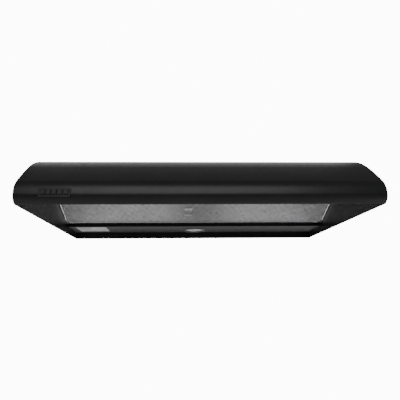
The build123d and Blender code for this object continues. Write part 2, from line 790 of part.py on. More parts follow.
flap_half = 124.5
with BuildPart() as damper_flap:
    rod(spot(-flap_half, flap_hinge, flap_rise), (1, 0, 0), hinge_radius + 1.1, 2 * flap_half)
    block((-flap_half, flap_half), (duct_front + 2.6, flap_hinge), (flap_rise - 0.4, flap_rise + 0.4))
    for x in (-62, 62):
        block((x - 5, x + 5), (duct_front + 12, flap_hinge - 4), (flap_rise + 0.4, flap_rise + 1.2))
    rod(
        spot(-flap_half - 1, flap_hinge, flap_rise),
        (1, 0, 0),
        hinge_radius + 0.06,
        2 * flap_half + 2,
        mode=Mode.SUBTRACT,
    )
    for x in (-75, 0, 75):
        block(
            (x - 15, x + 15),
            (flap_hinge - 3.2, flap_hinge + 4),
            (flap_rise - 4, flap_rise + 4),
            mode=Mode.SUBTRACT,
        )
damper_flap.part.label = "damper_flap"
export_step(damper_flap.part, "parts/damper_flap.step")

with BuildPart() as damper_rod:
    rod(spot(-duct_width / 2 - 2, flap_hinge, flap_rise), (1, 0, 0), hinge_radius, duct_width + 4)
    for x in (-duct_width / 2 - 2, duct_width / 2 + 0.8):
        rod(spot(x, flap_hinge, flap_rise), (1, 0, 0), hinge_radius + 0.8, 1.2)
damper_rod.part.label = "damper_rod"
export_step(damper_rod.part, "parts/damper_rod.step")

# ---- push buttons and switch --------------------------------------------------------

button_places = [switch_x + button_pitch * (n - 2) for n in range(len(button_names))]
well_half = 3.2

with BuildPart() as control_bezel:
    block((switch_x - 32, switch_x + 32), (-1.8, 3), (switch_rise - 9.5, switch_rise + 9.5))
    fillet(control_bezel.edges().filter_by(Axis.Y), 3)
    fillet(control_bezel.faces().sort_by(Axis.Y)[0].edges(), 0.8)
    with BuildSketch(Plane.YZ.offset(switch_x - 33)):
        add(side_face(-0.05))
    extrude(amount=66, mode=Mode.SUBTRACT)
    block((switch_x - 29, switch_x + 29), (-1, 7), (switch_rise - 7.2, switch_rise + 7.2))
    for x in button_places:
        block(
            (x - button_width / 2 - button_gap, x + button_width / 2 + button_gap),
            (-5, 9),
            (switch_rise - button_height / 2 - button_gap, switch_rise + button_height / 2 + button_gap),
            mode=Mode.SUBTRACT,
        )
control_bezel.part.label = "control_bezel"
export_step(control_bezel.part, "parts/control_bezel.step")

for x, name in zip(button_places, button_names):
    with BuildPart() as button:
        block(
            (x - button_width / 2, x + button_width / 2),
            (button_front, 7.6),
            (switch_rise - button_height / 2, switch_rise + button_height / 2),
        )
        fillet(button.edges().filter_by(Axis.Y), 1.2)
        fillet(button.faces().sort_by(Axis.Y)[0].edges(), 0.9)
        block((x - 5.3, x + 5.3), (7.4, 8.6), (switch_rise - 6.2, switch_rise + 6.2))
        block((x - 2.6, x + 2.6), (8.6, 18), (switch_rise - 2.6, switch_rise + 2.6))
    button.part.label = name
    export_step(button.part, f"parts/{name}.step")

with BuildPart() as switch_body:
    block((switch_x - 30, switch_x + 30), (13, 33), (switch_rise - 8, switch_rise + 8))
    fillet(switch_body.edges().filter_by(Axis.Y), 1.5)
    for x in button_places:
        block(
            (x - well_half, x + well_half),
            (12, 23),
            (switch_rise - well_half, switch_rise + well_half),
            mode=Mode.SUBTRACT,
        )
switch_body.part.label = "switch_body"
export_step(switch_body.part, "parts/switch_body.step")

with BuildPart() as switch_terminals:
    for x in button_places:
        block((x - 2.4, x + 2.4), (33, 37.5), (switch_rise - 0.4, switch_rise + 0.4))
        drill(spot(x, 35.5, switch_rise), (0, 0, 1), 0.9)
switch_terminals.part.label = "switch_terminals"
export_step(switch_terminals.part, "parts/switch_terminals.step")

cover_back = 41.0
cover_top = 58.0
cover_floor = 9.5
cover_half = 38.0
with BuildPart() as switch_cover:
    block((switch_x - cover_half, switch_x + cover_half), (2, cover_back), (cover_floor, cover_top))
    block(
        (switch_x - cover_half + sheet, switch_x + cover_half - sheet),
        (1, cover_back - sheet),
        (cover_floor + sheet, cover_top - sheet),
        mode=Mode.SUBTRACT,
    )
    with BuildSketch(Plane.YZ.offset(switch_x - cover_half)):
        add(side_face(sheet + 0.05))
    extrude(amount=2 * cover_half, mode=Mode.INTERSECT)
    drill(spot(lead_x, cover_back, 46), (0, 1, 0), grommet_radius)
switch_cover.part.label = "switch_cover"
export_step(switch_cover.part, "parts/switch_cover.step")

bracket_wall = cover_half - sheet
bracket_grip = 30.1
with BuildPart() as switch_bracket:
    bracket_x = (switch_x - bracket_wall, switch_x + bracket_wall)
    block(bracket_x, (12, 33), (switch_rise + 8.1, switch_rise + 9.1))
    for side in (-1, 1):
        wall_x = sorted((switch_x + side * (bracket_wall - sheet), switch_x + side * bracket_wall))
        grip_x = sorted((switch_x + side * bracket_grip, switch_x + side * (bracket_grip + sheet)))
        block(wall_x, (12, 33), (switch_rise - 8, switch_rise + 9.1))
        block(grip_x, (14, 31), (switch_rise - 8, switch_rise + 9.1))
switch_bracket.part.label = "switch_bracket"
export_step(switch_bracket.part, "parts/switch_bracket.step")

# ---- wiring box ---------------------------------------------------------------------

ground_x = -180.0
ground_behind = 435.0
ground_radius = 1.9

with BuildPart() as wiring_box:
    block((box_left, box_right), (box_front, box_back), (box_rise, height - sheet))
    block(
        (box_left + sheet, box_right - sheet),
        (box_front - 1, box_back - sheet),
        (box_rise + sheet, height),
        mode=Mode.SUBTRACT,
    )
    for side, edge in ((-1, box_left), (1, box_right)):
        lip_x = sorted((edge - side * 0.5, edge - side * 10))
        ear_x = sorted((edge - side * 0.5, edge + side * 12))
        block(lip_x, (box_front, box_front + sheet), (box_rise + sheet, height - sheet))
        block(ear_x, (box_front + 5, box_back - 5), (collar_under, collar_under + sheet))
    drill(spot(box_left, wiring_behind, lead_pass - 2), (1, 0, 0), grommet_radius)
    drill(spot(wiring_x, wiring_behind, box_rise), (0, 0, 1), grommet_radius)
    drill(spot(ground_x, ground_behind, box_rise), (0, 0, 1), ground_radius + screw_clearance)
    for seat in box_top_screws:
        drill(seat, (0, 0, 1), screw_radius + screw_clearance)
    for seat in box_cover_screws:
        drill(seat, (0, 1, 0), screw_radius + screw_clearance)
wiring_box.part.label = "wiring_box"
export_step(wiring_box.part, "parts/wiring_box.step")

box_lead_x = -183.0
with BuildPart() as wiring_box_cover:
    block((box_left, box_right), (box_front - sheet, box_front), (box_rise - sheet, height - sheet))
    block((box_left, box_right), (box_front - sheet, box_front + 12), (box_rise - sheet, box_rise))
    drill(spot(box_lead_x, box_front, motor_lead_rise), (0, 1, 0), grommet_radius)
    for seat in box_cover_screws:
        drill(seat, (0, 1, 0), screw_radius + screw_clearance)
wiring_box_cover.part.label = "wiring_box_cover"
export_step(wiring_box_cover.part, "parts/wiring_box_cover.step")

with BuildPart() as terminal_block:
    block((-243, -223), (425, 447), (box_rise + sheet, box_rise + sheet + 11))
    for y in (429, 436, 443):
        drill(spot(-233, y, box_rise + 8), (1, 0, 0), 1.6, 30)
    chamfer(terminal_block.edges().group_by(Axis.Z)[-1], 1)
terminal_block.part.label = "terminal_block"
export_step(terminal_block.part, "parts/terminal_block.step")

with BuildPart() as ground_screw:
    rod(spot(ground_x, ground_behind, box_rise - 3), (0, 0, 1), ground_radius, 4.5)
    with BuildSketch(Plane.XY.offset(bottom_z + box_rise + sheet)):
        with Locations(spot(ground_x, ground_behind, 0)[:2]):
            RegularPolygon(4.2, 6)
    extrude(amount=2.6)
    with Locations(spot(ground_x, ground_behind, box_rise + sheet + 2.6)):
        Box(6, 0.9, 1.6, mode=Mode.SUBTRACT)
ground_screw.part.label = "ground_screw"
export_step(ground_screw.part, "parts/ground_screw.step")

# ---- leads, grommets and clips ------------------------------------------------------


def run_radii(points):
    """Bend radii for a lead: 0.45 of the shorter run beside each corner, over its turn."""
    radii = []
    for before, here, after in zip(points, points[1:], points[2:]):
        first = Vector(here) - Vector(before)
        second = Vector(after) - Vector(here)
        half_turn = radians(first.get_angle(second)) / 2
        radii.append(0.45 * min(first.length, second.length) / tan(half_turn))
    return radii


lead_routes = {
    "switch_lead": [
        spot(lead_x, cover_back, 46),
        spot(lead_x, 62, 46),
        spot(lead_x, 100, 96),
        spot(lead_x, 140, 129),
        spot(lead_x, 168, lead_pass),
        spot(lead_x, 240, lead_pass),
        spot(lead_x, 330, lead_pass - 0.6),
        spot(lead_x + 6, 385, lead_pass - 1),
        spot(lead_x + 26, 410, lead_pass - 2),
        spot(box_left, 410, lead_pass - 2),
    ],
    "motor_lead": [
        spot(box_lead_x, box_front - sheet, motor_lead_rise),
        spot(box_lead_x, 340, motor_lead_rise),
        spot(box_lead_x + 26, 318, motor_lead_rise - 5),
        spot(box_lead_x + 80, 312, motor_lead_rise - 8),
        spot(-50, 310, motor_lead_rise - 8),
        spot(4, 312, motor_lead_rise - 3),
        spot(motor_lead_x, 324, motor_lead_rise),
        spot(motor_lead_x, 351, motor_lead_rise),
    ],
    "lamp_lead": [
        spot(wiring_x, wiring_behind, box_rise + sheet),
        spot(wiring_x, wiring_behind, 58),
        spot(wiring_x + 16, wiring_behind, 28),
        spot(wiring_x + 55, wiring_behind, 21.9),
        spot(-95, wiring_behind, 21.9),
        spot(-52, wiring_behind, 24),
        spot(-34, wiring_behind, 39),
        spot(-12, wiring_behind, 39),
    ],
}
for name, points in lead_routes.items():
    bends = run_radii(points)
    with BuildPart() as lead:
        with BuildLine() as route:
            FilletPolyline(*points, radius=bends)
        with BuildSketch(Plane(origin=points[0], z_dir=route.line % 0)):
            Circle(lead_radius)
        sweep()
    lead.part.label = name
    export_step(lead.part, f"parts/{name}.step")
    length = sum(run.length for run in route.edges())
    ratio = lead.part.volume / (pi * lead_radius**2 * length)
    print(name, "length", round(length), "bend radii", [round(bend, 1) for bend in bends])
    print(name, "volume over section times length", round(ratio, 3))

with BuildPart() as grommet_form:
    Cylinder(grommet_radius - 0.05, 4.8)
    with Locations((0, 0, -1.5), (0, 0, 1.5)):
        Cylinder(grommet_radius + 1.6, 1.8)
    fillet(grommet_form.edges().filter_by(GeomType.CIRCLE).group_by(Axis.Z)[-1], 0.4)
    Cylinder(lead_radius + 0.05, 9, mode=Mode.SUBTRACT)
grommet_places = [
    Plane(origin=spot(lead_x, cover_back - 0.5, 46), z_dir=(0, 1, 0)),
    Plane(origin=spot(lead_x, channel_behind + 0.5, lead_pass), z_dir=(0, 1, 0)),
    Plane(origin=spot(box_left + 0.5, wiring_behind, lead_pass - 2), z_dir=(1, 0, 0)),
    Plane(origin=spot(box_lead_x, box_front - 0.5, motor_lead_rise), z_dir=(0, -1, 0)),
    Plane(origin=spot(wiring_x, wiring_behind, box_rise + 0.5), z_dir=(0, 0, -1)),
]
with BuildPart() as lead_grommets:
    with Locations(*grommet_places):
        add(grommet_form.part)
lead_grommets.part.label = "lead_grommets"
export_step(lead_grommets.part, "parts/lead_grommets.step")

clip_behind = 290.0
clip_half = 4.0
clip_axis_rise = lead_pass - 0.2
with BuildPart() as lead_clips:
    clip_y = (clip_behind - clip_half, clip_behind + clip_half)
    rod(spot(lead_x, clip_y[0], clip_axis_rise), (0, 1, 0), lead_radius + 1.3, 2 * clip_half)
    block((lead_x - 2.6, lead_x + 14), clip_y, (height - 2.2, height - sheet))
    block((lead_x - 2.6, lead_x + 2.6), clip_y, (lead_pass, height - sheet))
    rod(
        spot(lead_x, clip_y[0] - 2, clip_axis_rise),
        (0, 1, 0),
        lead_radius + 0.35,
        2 * clip_half + 4,
        mode=Mode.SUBTRACT,
    )
lead_clips.part.label = "lead_clips"
export_step(lead_clips.part, "parts/lead_clips.step")

# ---- sheet-metal screws -------------------------------------------------------------

with BuildPart() as screw_form:
    Cylinder(screw_radius, 2.9, align=(Align.CENTER, Align.CENTER, Align.MIN))
    Cylinder(4.0, 0.7, align=(Align.CENTER, Align.CENTER, Align.MAX))
    with BuildSketch(Plane.XY.offset(-0.7)):
        RegularPolygon(3.3, 6)
    extrude(amount=-1.9)
    with Locations((0, 0, -2.6)):
        Box(5, 0.8, 1.6, mode=Mode.SUBTRACT)

screw_planes = [Plane(origin=seat, z_dir=(0, 0, 1)) for seat in top_screws]
screw_planes += [Plane(origin=seat, z_dir=(0, 1, 0)) for seat in box_cover_screws]
screw_planes += [
    Plane(origin=spot(0, axle_behind, 44), z_dir=(0, 0, 1)),
    Plane(origin=spot(0, 334, axle_rise), z_dir=(0, 1, 0)),
    Plane(origin=spot(0, duct_back + sheet, axle_rise + 8), z_dir=(0, -1, 0)),
]
with BuildPart() as sheet_screws:
    with Locations(*screw_planes):
        add(screw_form.part)
sheet_screws.part.label = "sheet_screws"
export_step(sheet_screws.part, "parts/sheet_screws.step")
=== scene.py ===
"""Under cabinet range hood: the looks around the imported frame.

Metres. +X across, -Y towards the cook, +Z up, origin on the top face between the cabinet screws.
"""

import json
import math

import bmesh
import bpy
import numpy as np
from mathutils import Matrix, Vector


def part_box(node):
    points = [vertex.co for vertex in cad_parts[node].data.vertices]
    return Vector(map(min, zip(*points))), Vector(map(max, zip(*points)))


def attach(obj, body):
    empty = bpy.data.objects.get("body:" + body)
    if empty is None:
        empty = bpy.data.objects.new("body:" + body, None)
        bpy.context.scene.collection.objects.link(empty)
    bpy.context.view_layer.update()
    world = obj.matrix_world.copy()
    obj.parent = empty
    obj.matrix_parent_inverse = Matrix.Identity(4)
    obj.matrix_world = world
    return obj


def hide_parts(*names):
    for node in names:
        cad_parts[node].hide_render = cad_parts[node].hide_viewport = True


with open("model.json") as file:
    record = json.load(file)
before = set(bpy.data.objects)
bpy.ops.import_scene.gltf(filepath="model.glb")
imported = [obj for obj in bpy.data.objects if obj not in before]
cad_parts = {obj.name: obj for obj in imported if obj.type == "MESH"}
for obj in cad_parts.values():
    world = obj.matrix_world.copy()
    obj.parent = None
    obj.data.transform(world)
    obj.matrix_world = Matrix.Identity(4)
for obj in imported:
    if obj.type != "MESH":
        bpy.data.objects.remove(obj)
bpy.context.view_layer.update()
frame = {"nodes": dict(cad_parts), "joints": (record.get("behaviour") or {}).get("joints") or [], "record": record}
scene = bpy.context.scene
MM = 0.001

# ---- camera -------------------------------------------------------------------------

CAMERA_PLACE = Vector((-0.0487, -1.0215, -0.3286))
CAMERA_YAW = math.radians(1.641)
CAMERA_PITCH = math.radians(11.147)
CAMERA_ROLL = math.radians(-0.54)
CAMERA_LENS = 32.23
CAMERA_SENSOR = 36.0
CAMERA_SHIFT = (0.0278, 0.0625)
CAMERA_CLIP = (0.01, 50.0)


def make_camera():
    """Camera just below the hood's bottom edge, looking slightly up at its underside."""
    data = bpy.data.cameras.new("camera")
    data.lens = CAMERA_LENS
    data.sensor_width = CAMERA_SENSOR
    data.shift_x, data.shift_y = CAMERA_SHIFT
    data.clip_start, data.clip_end = CAMERA_CLIP
    camera = bpy.data.objects.new("camera", data)
    scene.collection.objects.link(camera)
    level = math.cos(CAMERA_PITCH)
    ahead = Vector((math.sin(CAMERA_YAW) * level, math.cos(CAMERA_YAW) * level, math.sin(CAMERA_PITCH)))
    right = Vector((math.cos(CAMERA_YAW), -math.sin(CAMERA_YAW), 0))
    up = right.cross(ahead)
    rolled_right = right * math.cos(CAMERA_ROLL) + up * math.sin(CAMERA_ROLL)
    rolled_up = up * math.cos(CAMERA_ROLL) - right * math.sin(CAMERA_ROLL)
    turn = Matrix((rolled_right, rolled_up, -ahead)).transposed()
    camera.matrix_world = Matrix.Translation(CAMERA_PLACE) @ turn.to_4x4()
    scene.camera = camera


# ---- materials ----------------------------------------------------------------------

NOISE_MIDDLE = (0.3, 0.7)
GLOSS_PER_BLOTCH = 3.1
# Painted shade: the darkest the shaded stretch of a material gets, as a share of its dark tone.
PAINTED_SHADE = 0.72


def link(tree, source, target):
    """Joins an output to an input."""
    tree.links.new(source, target)


def noise(tree, place, scale, detail=4.0, roughness=0.55):
    """Noise texture on a coordinate output; returns its 0 to 1 value."""
    node = tree.nodes.new("ShaderNodeTexNoise")
    node.inputs["Scale"].default_value = scale
    node.inputs["Detail"].default_value = detail
    node.inputs["Roughness"].default_value = roughness
    link(tree, place, node.inputs["Vector"])
    return node.outputs["Fac"]


def cells(tree, place, scale):
    """Flat random value for each cell of a Voronoi pattern."""
    node = tree.nodes.new("ShaderNodeTexVoronoi")
    node.inputs["Scale"].default_value = scale
    link(tree, place, node.inputs["Vector"])
    split = tree.nodes.new("ShaderNodeSeparateColor")
    link(tree, node.outputs["Color"], split.inputs["Color"])
    return split.outputs["Red"]


def stretched(tree, stretch):
    """The piece's own coordinates, in metres, scaled differently along each axis."""
    place = tree.nodes.new("ShaderNodeTexCoord")
    shape = tree.nodes.new("ShaderNodeMapping")
    shape.inputs["Scale"].default_value = stretch
    link(tree, place.outputs["Object"], shape.inputs["Vector"])
    return shape.outputs["Vector"]


def spread(tree, value, least, most, start, end):
    """Maps a value between start and end onto a range."""
    node = tree.nodes.new("ShaderNodeMapRange")
    for name, number in (("From Min", start), ("From Max", end), ("To Min", least), ("To Max", most)):
        node.inputs[name].default_value = number
    link(tree, value, node.inputs["Value"])
    return node.outputs["Result"]


def blend_colour(tree, value, first, second):
    """Mixes two colours, or a colour output and a colour, by a value."""
    node = tree.nodes.new("ShaderNodeMix")
    node.data_type = "RGBA"
    if isinstance(first, tuple):
        node.inputs["A"].default_value = (*first, 1)
    else:
        link(tree, first, node.inputs["A"])
    node.inputs["B"].default_value = (*second, 1)
    link(tree, value, node.inputs["Factor"])
    return node.outputs["Result"]


def painted_shade_weight(tree, shade_patch):
    """Weight of the painted shade: 1 at a place along X, falling softly to 0 at a reach either side of it."""
    centre, reach = shade_patch
    place = tree.nodes.new("ShaderNodeTexCoord")
    split = tree.nodes.new("ShaderNodeSeparateXYZ")
    link(tree, place.outputs["Object"], split.inputs["Vector"])
    shift = tree.nodes.new("ShaderNodeMath")
    shift.operation = "SUBTRACT"
    shift.inputs[1].default_value = centre
    link(tree, split.outputs["X"], shift.inputs[0])
    away = tree.nodes.new("ShaderNodeMath")
    away.operation = "ABSOLUTE"
    link(tree, shift.outputs["Value"], away.inputs[0])
    ramp = tree.nodes.new("ShaderNodeMapRange")
    ramp.interpolation_type = "SMOOTHSTEP"
    for name, number in (("From Min", 0.0), ("From Max", reach), ("To Min", 1.0), ("To Max", 0.0)):
        ramp.inputs[name].default_value = number
    link(tree, away.outputs["Value"], ramp.inputs["Value"])
    return ramp.outputs["Result"]


def bumped(tree, value, depth, under=None):
    """Bump of a depth in metres from a 0 to 1 value, on top of another normal."""
    node = tree.nodes.new("ShaderNodeBump")
    node.inputs["Distance"].default_value = depth
    node.inputs["Strength"].default_value = 1.0
    link(tree, value, node.inputs["Height"])
    if under is not None:
        link(tree, under, node.inputs["Normal"])
    return node.outputs["Normal"]


def surface(
    name, dark, light, rough, metal=0.0, blotch=18.0, grain=900.0, depth=0.00002,
    stretch=(1, 1, 1), wave=None, spangle=None, shade_patch=None, **settings
):
    """Procedural material: two tones in soft blotches, uneven gloss and a fine grain.

    wave is (scale, depth) of a slow unevenness, spangle the cell scale of zinc crystals, and the
    shading argument the (centre, reach) along X of a stretch darkened with painted shade.
    """
    material = bpy.data.materials.new(name)
    material.use_nodes = True
    tree = material.node_tree
    shader = tree.nodes["Principled BSDF"]
    place = stretched(tree, stretch)
    tone = cells(tree, place, spangle) if spangle else noise(tree, place, blotch)
    start, end = (0.0, 1.0) if spangle else NOISE_MIDDLE
    colour = blend_colour(tree, spread(tree, tone, 0, 1, start, end), dark, light)
    # Painted shade: across the stretch, the colour is mixed towards a darker copy of the dark tone.
    if shade_patch:
        shade = tuple(PAINTED_SHADE * part for part in dark)
        colour = blend_colour(tree, painted_shade_weight(tree, shade_patch), colour, shade)
    link(tree, colour, shader.inputs["Base Color"])
    gloss = tone if spangle else noise(tree, place, blotch * GLOSS_PER_BLOTCH)
    link(tree, spread(tree, gloss, rough[0], rough[1], start, end), shader.inputs["Roughness"])
    normal = None
    if wave:
        normal = bumped(tree, noise(tree, place, wave[0], 2.0), wave[1])
    normal = bumped(tree, noise(tree, place, grain, 3.0), depth, under=normal)
    link(tree, normal, shader.inputs["Normal"])
    shader.inputs["Metallic"].default_value = metal
    for socket, number in settings.items():
        shader.inputs[socket.replace("_", " ")].default_value = number
    return material


def make_materials():
    """One material for each of the record's slots."""
    brushed = (14, 1, 1)
    return {
        "hood_paint": surface(
            "black_powder_coat", (0.011, 0.011, 0.0113), (0.015, 0.015, 0.0153), (0.3, 0.36),
            grain=700, depth=0.000008, wave=(9, 0.00008), IOR=1.5,
        ),
        "label_foil": surface(
            "silver_label", (0.42, 0.42, 0.43), (0.5, 0.5, 0.51), (0.42, 0.55), 0.35, grain=2500,
        ),
        "lamp_trim": surface("lamp_trim_dark", (0.05, 0.05, 0.05), (0.06, 0.06, 0.06), (0.3, 0.4)),
        "lamp_glass": surface(
            "frosted_glass", (0.86, 0.87, 0.86), (0.92, 0.93, 0.92), (0.32, 0.42), grain=500,
            depth=0.0001,
            Transmission_Weight=0.55, IOR=1.5,
        ),
        "polished_aluminium": surface(
            "polished_reflector", (0.86, 0.86, 0.87), (0.9, 0.9, 0.91), (0.12, 0.2), 1.0,
        ),
        "ceramic": surface("glazed_ceramic", (0.78, 0.76, 0.7), (0.84, 0.82, 0.77), (0.2, 0.3)),
        "spring_steel": surface("spring_steel", (0.5, 0.5, 0.51), (0.58, 0.58, 0.59), (0.25, 0.35), 1.0),
        "filter_aluminium": surface(
            "bright_frame_aluminium", (0.9, 0.9, 0.91), (0.95, 0.95, 0.96), (0.2, 0.28), 1.0,
            grain=900, stretch=(0.15, 1, 1), depth=0.00001,
        ),
        "filter_mesh_aluminium": surface(
            "mesh_aluminium", (0.84, 0.84, 0.85), (0.97, 0.97, 0.98), (0.4, 0.55), 0.5, blotch=45,
            grain=1500,
            # painted shade darkening the mesh across a stretch near the middle of the filter
            shade_patch=(0.012, 0.13),
        ),
        "tab_steel": surface("tab_satin", (0.4, 0.4, 0.41), (0.5, 0.5, 0.51), (0.35, 0.5), 0.8),
        "rivet_aluminium": surface(
            "rivet_aluminium", (0.7, 0.7, 0.71), (0.8, 0.8, 0.81), (0.25, 0.35), 1.0,
        ),
        "galvanised": surface(
            "galvanised_steel", (0.42, 0.44, 0.46), (0.62, 0.64, 0.66), (0.28, 0.5), 1.0,
            spangle=110, grain=1200,
        ),
        "wheel_plastic": surface(
            "wheel_black_nylon", (0.02, 0.02, 0.021), (0.03, 0.03, 0.031), (0.4, 0.55),
        ),
        "black_screw": surface("black_oxide", (0.03, 0.03, 0.03), (0.05, 0.05, 0.05), (0.3, 0.4), 0.8),
        "shaft_steel": surface(
            "ground_steel", (0.52, 0.52, 0.53), (0.62, 0.62, 0.63), (0.18, 0.28), 1.0, stretch=brushed,
        ),
        "lamination_steel": surface(
            "laminated_steel", (0.22, 0.21, 0.2), (0.36, 0.35, 0.34), (0.35, 0.5), 1.0,
            stretch=(40, 1, 1), grain=60,
            depth=0.0002,
        ),
        "copper_varnish": surface(
            "varnished_windings", (0.35, 0.1, 0.03), (0.55, 0.2, 0.07), (0.25, 0.4), 0.5,
            grain=700, depth=0.0003,
        ),
        "motor_paint": surface("motor_black", (0.02, 0.02, 0.021), (0.035, 0.035, 0.036), (0.35, 0.5)),
        "bronze": surface(
            "sintered_bronze", (0.42, 0.27, 0.12), (0.55, 0.37, 0.18), (0.4, 0.55), 1.0, grain=2000,
        ),
        "capacitor_can": surface(
            "capacitor_black", (0.03, 0.03, 0.031), (0.045, 0.045, 0.046), (0.3, 0.42),
        ),
        "control_plastic": surface(
            "bezel_black_plastic", (0.02, 0.02, 0.02), (0.026, 0.026, 0.026), (0.34, 0.42),
            grain=1800, depth=0.00002,
        ),
        "button_plastic": surface(
            "button_black_plastic", (0.02, 0.02, 0.02), (0.026, 0.026, 0.026), (0.32, 0.4), grain=1500,
        ),
        "switch_nylon": surface("switch_nylon", (0.03, 0.03, 0.03), (0.045, 0.045, 0.045), (0.45, 0.55)),
        "brass_blade": surface("brass_blade", (0.6, 0.45, 0.18), (0.72, 0.56, 0.26), (0.25, 0.35), 1.0),
        "terminal_nylon": surface("terminal_ivory", (0.72, 0.7, 0.6), (0.8, 0.78, 0.68), (0.4, 0.5)),
        "ground_green": surface("ground_green", (0.02, 0.2, 0.05), (0.03, 0.28, 0.08), (0.3, 0.4), 0.5),
        "lead_jacket": surface(
            "black_pvc", (0.018, 0.018, 0.018), (0.026, 0.026, 0.026), (0.4, 0.5), grain=300,
        ),
        "grommet_rubber": surface("black_rubber", (0.02, 0.02, 0.02), (0.03, 0.03, 0.03), (0.6, 0.75)),
        "clip_nylon": surface("natural_nylon", (0.62, 0.61, 0.55), (0.7, 0.69, 0.63), (0.4, 0.5)),
        "zinc_screw": surface("zinc_plate", (0.52, 0.54, 0.56), (0.66, 0.67, 0.68), (0.25, 0.38), 1.0),
    }


def dress(obj, material):
    """Gives a piece one material."""
    obj.data.materials.clear()
    obj.data.materials.append(material)


def new_piece(name, points, faces, material, body):
    """Mesh piece from points and faces, riding on a body."""
    mesh = bpy.data.meshes.new(name)
    mesh.from_pydata(points, [], faces)
    mesh.update()
    piece = bpy.data.objects.new(name, mesh)
    scene.collection.objects.link(piece)
    dress(piece, material)
    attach(piece, body)
    return piece


# ---- filter mesh --------------------------------------------------------------------

slide = next(joint for joint in frame["joints"] if joint["name"] == "filter_slide")
down_slope = -Vector(slide["axis"])
filter_up = Vector((1, 0, 0)).cross(down_slope)
if filter_up.z < 0:
    filter_up = -filter_up
frame_low, frame_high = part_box("filter_frame")
filter_middle = (Vector(frame_low) + Vector(frame_high)) / 2
frame_y, frame_z = frame_high[1] - frame_low[1], frame_high[2] - frame_low[2]
cosine, sine = abs(down_slope.y), abs(down_slope.z)
filter_length = (frame_y * cosine - frame_z * sine) / (cosine**2 - sine**2)
filter_thick = (frame_z * cosine - frame_y * sine) / (cosine**2 - sine**2)
filter_half = (frame_high[0] - frame_low[0]) / 2
MESH_EDGE = 2.2 * MM
FACE_INSET = 1.1 * MM
FACE_LIFT = 0.5 * MM
CRUMPLE_WAVES = 14
CRUMPLE_SPAN = (60, 420)
CRUMPLE_LEVEL = 5.5
STRAND_WAVES = (310, 270)
STRAND_TILT = 0.28


def expanded_layer(cell, row, strand, thick, level, wobble, seed):
    """Points and faces of one sheet of expanded metal in the filter's slope.

    Each row is a zigzag ribbon whose peaks meet the rows beside it, so the gaps are diamonds.
    cell is a diamond's length across, row the spacing of the ribbons, level the sheet's
    height from the filter's middle, and wobble how far the sheet is crumpled.
    """
    draw = np.random.default_rng(seed)
    reach_x = filter_half - MESH_EDGE
    reach_s = filter_length / 2 - MESH_EDGE
    columns = int(2 * reach_x / (cell / 2)) + 1
    rows = int(2 * reach_s / row) + 1
    x = np.linspace(-reach_x, reach_x, columns)
    s = np.linspace(-reach_s + row / 2, reach_s - row / 2, rows)
    grid_x, grid_s = np.meshgrid(x, s)
    step = np.indices(grid_x.shape).sum(axis=0) % 2 * 2 - 1
    grid_s = grid_s + step * row * 0.5
    grid_s = np.clip(grid_s, -reach_s, reach_s)
    crumple = np.zeros_like(grid_x)
    for _ in range(CRUMPLE_WAVES):
        angle = draw.uniform(0, math.pi)
        waves = draw.uniform(*CRUMPLE_SPAN)
        phase = draw.uniform(0, 2 * math.pi)
        crumple += np.sin(waves * (grid_x * math.cos(angle) + grid_s * math.sin(angle)) + phase)
    centre = level + wobble * crumple / CRUMPLE_LEVEL
    wave_x, wave_s = STRAND_WAVES
    lean = strand * 0.5 * (0.75 + 0.25 * np.sin(grid_x * wave_x + seed) * np.sin(grid_s * wave_s))
    tilt = thick * 0.5 + strand * STRAND_TILT
    corners = [(-lean, tilt - thick), (lean, -tilt), (lean, -tilt + thick), (-lean, tilt)]
    rings = []
    for shift, rise in corners:
        along = grid_s + shift
        up = centre + rise
        flat = (
            np.array(filter_middle)[None, None, :]
            + grid_x[..., None] * np.array((1, 0, 0))
            + along[..., None] * np.array(down_slope)
            + up[..., None] * np.array(filter_up)
        )
        rings.append(flat)
    points = np.stack(rings, axis=2).reshape(-1, 3)
    index = np.arange(rows * columns * 4).reshape(rows, columns, 4)
    quads = []
    for side in range(4):
        after = (side + 1) % 4
        quad = np.stack(
            [index[:, :-1, side], index[:, 1:, side], index[:, 1:, after], index[:, :-1, after]], axis=-1
        )
        quads.append(quad.reshape(-1, 4))
    caps = [index[:, 0, ::-1].reshape(-1, 4), index[:, -1, :].reshape(-1, 4)]
    return points, np.concatenate(quads + caps)


def make_filter_mesh(material):
    """Stack of expanded sheets: coarse faces outside, crumpled fine ones between."""
    half = filter_thick / 2 - FACE_INSET
    # name, cell, row, strand and thickness in millimetres, level in metres, crumple in millimetres, seed
    layers = [
        ("filter_face_lower", 7.0, 1.9, 0.85, 0.35, -half + FACE_LIFT, 0.12, 1),
        ("filter_layer_low", 5.0, 1.7, 0.6, 0.25, -0.9 * MM, 0.5, 2),
        ("filter_layer_high", 6.0, 2.1, 0.7, 0.25, 0.8 * MM, 0.55, 3),
        ("filter_face_upper", 8.0, 2.3, 0.9, 0.35, half - FACE_LIFT, 0.12, 4),
    ]
    for name, cell, row, strand, thick, level, wobble, seed in layers:
        points, faces = expanded_layer(
            cell * MM, row * MM, strand * MM, thick * MM, level, wobble * MM, seed
        )
        points, faces = points.tolist(), faces.tolist()
        new_piece(name, points, faces, material, "filter")
    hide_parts("filter_mesh")


BEAD_RADIUS = 1.5 * MM
BEAD_END = 6 * MM
BEAD_INSET = 0.3 * MM
BEAD_SINK = 0.7 * MM
BEAD_RINGS = 13
BEAD_SIDES = 12
BEAD_TIP = 0.05
BEAD_TAPER = 4


